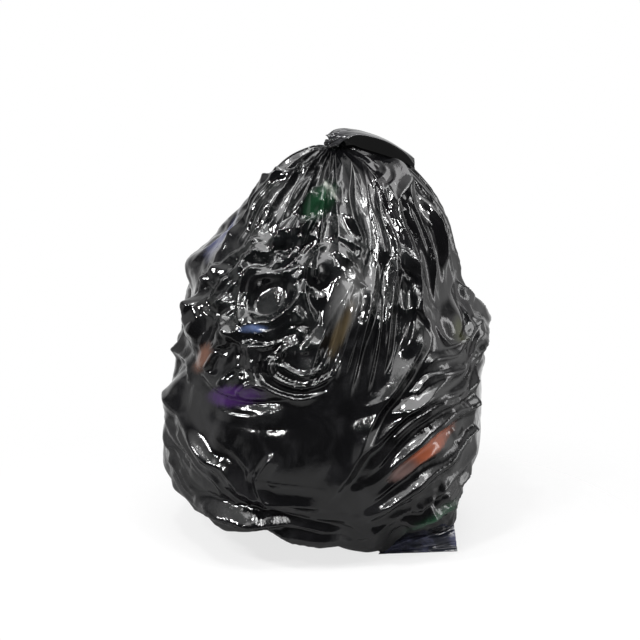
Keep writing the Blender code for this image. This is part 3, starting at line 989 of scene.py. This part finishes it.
def make_seam_corner():
    """The end of the bottom seam: a flat, creased double edge that stands off the bag's lower right."""
    share, low = np.meshgrid(np.linspace(0, 1, CORNER_COLUMNS), np.linspace(1, 0, CORNER_ROWS))
    foot = np.array(CORNER_START) + share[..., None] * np.array(CORNER_END - CORNER_START)
    up = np.array(CORNER_START_UP) + share[..., None] * np.array(CORNER_END_UP - CORNER_START_UP)
    lattice = foot + up * low[..., None]
    height = np.zeros(share.shape)
    for _ in range(CORNER_CREASES):
        place, start, lean = rng.uniform(*CREASE_PLACES), rng.uniform(0, 1), rng.uniform(*CREASE_LEANS)
        crest, width, length = random_in((CREASE_CRESTS, CREASE_WIDTHS, CREASE_LENGTHS))
        off = np.abs(low - start - lean * (share - place)) / width
        height += crest * np.clip(1 - off, 0, 1) * eased(CREASE_END - np.abs(share - place) / length)
    weld, weld_width, weld_height = CORNER_WELD
    height += weld_height * np.exp(-(((low - weld) / weld_width) ** 2))
    lattice -= sheet_facing(lattice) * height[..., None]
    lattice[..., 2] = np.maximum(lattice[..., 2], CORNER_LOWEST)
    return sheet_object("seam_corner", lattice), flat_size(lattice)


# ---------------------------------------------------------------- materials

class Value:
    """A number in a shader, so that maths on it is written as maths."""

    def __init__(self, shader, socket):
        self.shader = shader
        self.socket = socket

    def maths(self, operation, *numbers):
        node = self.shader.add("ShaderNodeMath", {"operation": operation}, dict(enumerate(numbers)))
        return Value(self.shader, node.outputs[0])

    def __add__(self, other):
        return self.maths("ADD", self, other)

    def __radd__(self, other):
        return self.maths("ADD", other, self)

    def __sub__(self, other):
        return self.maths("SUBTRACT", self, other)

    def __rsub__(self, other):
        return self.maths("SUBTRACT", other, self)

    def __mul__(self, other):
        return self.maths("MULTIPLY", self, other)

    def __rmul__(self, other):
        return self.maths("MULTIPLY", other, self)

    def above(self, other):
        return self.maths("MAXIMUM", self, other)

    def eased(self, start, end):
        """0 before start, 1 after end and a smooth rise between them."""
        ease = {"interpolation_type": "SMOOTHSTEP"}
        inputs = {"Value": self, "From Min": start, "From Max": end}
        node = self.shader.add("ShaderNodeMapRange", ease, inputs)
        return Value(self.shader, node.outputs["Result"])


class Shader:
    """The nodes of a material or of the world."""

    def __init__(self, owner):
        owner.use_nodes = True
        self.tree = owner.node_tree

    def add(self, kind, settings=None, inputs=None):
        """A node of this kind: its settings, then a number, a colour or a link for each named input."""
        node = self.tree.nodes.new(kind)
        for name, setting in (settings or {}).items():
            setattr(node, name, setting)
        self.feed(node, inputs or {})
        return node

    def feed(self, node, inputs):
        """Links or sets each named input of a node."""
        for name, given in inputs.items():
            given = getattr(given, "socket", given)
            if isinstance(given, bpy.types.NodeSocket):
                self.tree.links.new(given, self.socket(node, name))
            else:
                self.socket(node, name).default_value = given

    def socket(self, node, name):
        """A node's input; of the ones that share its name, the one in use."""
        if isinstance(name, int):
            return node.inputs[name]
        return next(socket for socket in node.inputs if socket.name == name and socket.enabled)

    def value(self, kind, settings=None, inputs=None, output=0):
        """A new node's output, as a number."""
        return Value(self, self.add(kind, settings, inputs).outputs[output])

    def mixed(self, share, first, second):
        """One shader and more and more of another."""
        inputs = {0: share, 1: first.outputs[0], 2: second.outputs[0]}
        return self.add("ShaderNodeMixShader", inputs=inputs)

    def mixed_colour(self, share, first, second):
        """One colour and more and more of another."""
        inputs = {"Factor": share, "A": first, "B": second}
        mix = self.add("ShaderNodeMix", {"data_type": "RGBA"}, inputs)
        return next(socket for socket in mix.outputs if socket.name == "Result" and socket.enabled)

    def pattern(self, place, waves, detail, roughness, distortion):
        """A cloudy pattern over a place."""
        stretched = self.add("ShaderNodeMapping", inputs={"Vector": place, "Scale": waves}).outputs[0]
        inputs = {"Vector": stretched, "Scale": 1, "Detail": detail, "Roughness": roughness}
        inputs["Distortion"] = distortion
        return self.value("ShaderNodeTexNoise", inputs=inputs)


def film_material(name, black, smoky, glow):
    """Thin glossy film, with creases finer than its folds, faint glimpses of what lies under it and a few
    patches of painted highlight and painted reflection.

    Its colour runs from black to smoky, where paler contents lie close under it; the hood's paler colours are
    partly painted light from behind, and glow is the light that comes through it from behind.
    """
    material = bpy.data.materials.new(name)
    shader = Shader(material)
    place = shader.add("ShaderNodeTexCoord").outputs["Object"]
    streaks, crinkles = shader.pattern(place, *STREAKS), shader.pattern(place, *CRINKLES)
    clouds, smoke = shader.pattern(place, *CLOUDS), shader.pattern(place, *SMOKE)
    own = shader.mixed_colour(smoke.eased(*SMOKE_RISE), black, smoky)
    surface = shader.tree.nodes["Principled BSDF"]
    shader.feed(surface, {"Base Color": glimpsed_colour(shader, place, streaks, own), "IOR": FILM_IOR})
    roughness = FILM_ROUGHNESS + clouds.eased(*CLOUD_ROUGHNESS_RISE) * CLOUD_ROUGHNESS
    shader.feed(surface, {"Roughness": roughness})
    crinkled = CRINKLE_WEIGHT + clouds.eased(*CLOUD_CRINKLE_RISE) * CLOUD_CRINKLE_WEIGHT
    height = (crinkles - 0.5) * crinkled + (streaks - 0.5) * STREAK_WEIGHT
    bump = shader.add("ShaderNodeBump", inputs={"Distance": CREASE_DEPTH, "Strength": 1.0, "Height": height})
    shader.feed(surface, {"Normal": bump.outputs["Normal"]})
    shader.feed(surface, {"Emission Color": (1, 1, 1, 1), "Emission Strength": glow})
    return material


def glimpsed_colour(shader, place, streaks, colour):
    """The film's colour, with soft patches of other colours where something bright lies against it, and
    patches of painted highlight and painted reflection among them.
    """
    tree = bag_tree()
    for _name, turn, height, half_length, half_width, lean, tint in GLIMPSES:
        turn, lean = math.radians(turn), math.radians(lean)
        out = Vector((math.sin(turn), -math.cos(turn), 0))
        across = Vector((math.cos(turn), math.sin(turn), 0))
        length_way = across * math.sin(lean) + Vector((0, 0, math.cos(lean)))
        middle = tree.ray_cast(Vector((CORE.x, CORE.y, height)), out)[0]
        axes = Matrix((length_way.cross(out), out, length_way)).transposed()
        inputs = {"Vector": place, "Location": middle, "Rotation": axes.to_euler()}
        inputs["Scale"] = (half_width, GLIMPSE_DEPTH, half_length)
        moved = shader.add("ShaderNodeMapping", {"vector_type": "TEXTURE"}, inputs)
        far = shader.value("ShaderNodeVectorMath", {"operation": "LENGTH"}, {0: moved.outputs[0]}, "Value")
        share = (GLIMPSE_EDGE - far + (streaks - 0.5) * GLIMPSE_RAGGED).eased(0.0, GLIMPSE_FADE)
        colour = shader.mixed_colour(share, colour, (*tint, 1))
    return colour


def floor_material():
    """A pale floor that fades out round the bag, so that it has no edge."""
    material = bpy.data.materials.new("pale_floor")
    shader = Shader(material)
    nodes = shader.tree.nodes
    shader.feed(nodes["Principled BSDF"], {"Base Color": FLOOR_PAINT, "Roughness": FLOOR_ROUGHNESS})
    rays = shader.add("ShaderNodeLightPath")
    camera = Value(shader, rays.outputs["Is Camera Ray"])
    mirrored = Value(shader, rays.outputs["Is Glossy Ray"])
    white = shader.add("ShaderNodeEmission")
    paler = shader.mixed(camera * FLOOR_WHITENESS, nodes["Principled BSDF"], white)
    dim = shader.add("ShaderNodeBsdfDiffuse", inputs={"Color": (*[FLOOR_MIRRORED] * 3, 1)})
    paler = shader.mixed(mirrored, paler, dim)
    place = shader.add("ShaderNodeTexCoord").outputs["Object"]
    far = shader.value("ShaderNodeVectorMath", {"operation": "LENGTH"}, {0: place}, "Value")
    faded = shader.mixed(far.eased(*FLOOR_FADE), paler, shader.add("ShaderNodeBsdfTransparent"))
    shader.feed(nodes["Material Output"], {"Surface": faded.outputs[0]})
    return material


# ---------------------------------------------------------------- the studio

def make_studio():
    """The floor, the room and the lamps."""
    bm = bmesh.new()
    bmesh.ops.create_circle(bm, cap_ends=True, segments=FLOOR_SIDES, radius=FLOOR_FADE[1] + FLOOR_EDGE)
    floor = mesh_object("floor", bm)
    floor.data.materials.append(floor_material())
    make_room()
    for lamp in LAMPS:
        add_lamp(*lamp)


def make_room():
    """The room: white to look at, and mirrored with a bright ceiling, sides and back and a dim front."""
    world = bpy.data.worlds.new("room")
    bpy.context.scene.world = world
    shader = Shader(world)
    rays = shader.add("ShaderNodeLightPath")
    camera = Value(shader, rays.outputs["Is Camera Ray"])
    through = Value(shader, rays.outputs["Is Transmission Ray"])
    mirrored = Value(shader, rays.outputs["Is Glossy Ray"]).above(through)
    way = shader.add("ShaderNodeTexCoord")
    parts = shader.add("ShaderNodeSeparateXYZ", inputs={0: way.outputs["Generated"]})
    side, back, up = (Value(shader, parts.outputs[axis]) for axis in "XYZ")
    ceiling = up.eased(*ROOM_CEILING)
    right_wall = side.eased(*ROOM_RIGHT)
    left_wall = (0 - side).eased(*ROOM_LEFT) * ROOM_LEFT_SHARE
    back_wall = back.eased(*ROOM_BACK)
    lit = ceiling.above(right_wall).above(left_wall).above(back_wall)
    seen = ROOM_DIM + lit * (1 - ROOM_DIM)
    strength = camera + (1 - camera) * (mirrored * seen + (1 - mirrored) * ROOM_FILL)
    shader.feed(shader.tree.nodes["Background"], {"Color": (1, 1, 1, 1), "Strength": strength})


def add_lamp(name, place, width, height, power):
    """A soft lamp that faces the bag."""
    light = bpy.data.lights.new(name, "AREA")
    light.shape = "RECTANGLE"
    light.size = width
    light.size_y = height
    light.energy = power
    lamp = bpy.data.objects.new(name, light)
    lamp.location = place
    lamp.rotation_euler = (Vector(LAMP_AIM) - Vector(place)).to_track_quat("-Z", "Y").to_euler()
    bpy.context.scene.collection.objects.link(lamp)


def make_camera():
    """The camera, straight in front of the bag and looking down on it a little."""
    camera = bpy.data.objects.new("camera", bpy.data.cameras.new("camera"))
    back = Vector((0, -math.cos(VIEW_LIFT), math.sin(VIEW_LIFT)))
    camera.location = VIEW_AIM + back * VIEW_DISTANCE
    camera.rotation_euler = (-back).to_track_quat("-Z", "Y").to_euler()
    camera.data.lens = VIEW_LENS
    camera.data.sensor_width = VIEW_SENSOR
    bpy.context.scene.collection.objects.link(camera)
    bpy.context.scene.camera = camera


def main():
    bpy.context.scene.view_settings.view_transform = "Standard"
    make_camera()
    make_studio()
    film = make_film()
    knot = make_knot()
    hood, hood_flat = make_hood()
    corner, corner_flat = make_seam_corner()
    over_contents = film_material("film_over_contents", FILM_BLACK, FILM_SMOKY, 0)
    # the hood's paler colours are partly painted light coming through its single layer
    empty = film_material("empty_film", HOOD_LIT_BLACK, HOOD_LIT_SMOKY, HOOD_GLOW)
    seam = film_material("film_over_seam", SEAM_BLACK, SEAM_BLUE, 0)
    for piece, material in ((film, over_contents), (knot, over_contents), (hood, empty), (corner, seam)):
        piece.data.materials.append(material)
        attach(piece, "root")
        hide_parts(BAG_NODE)


main()
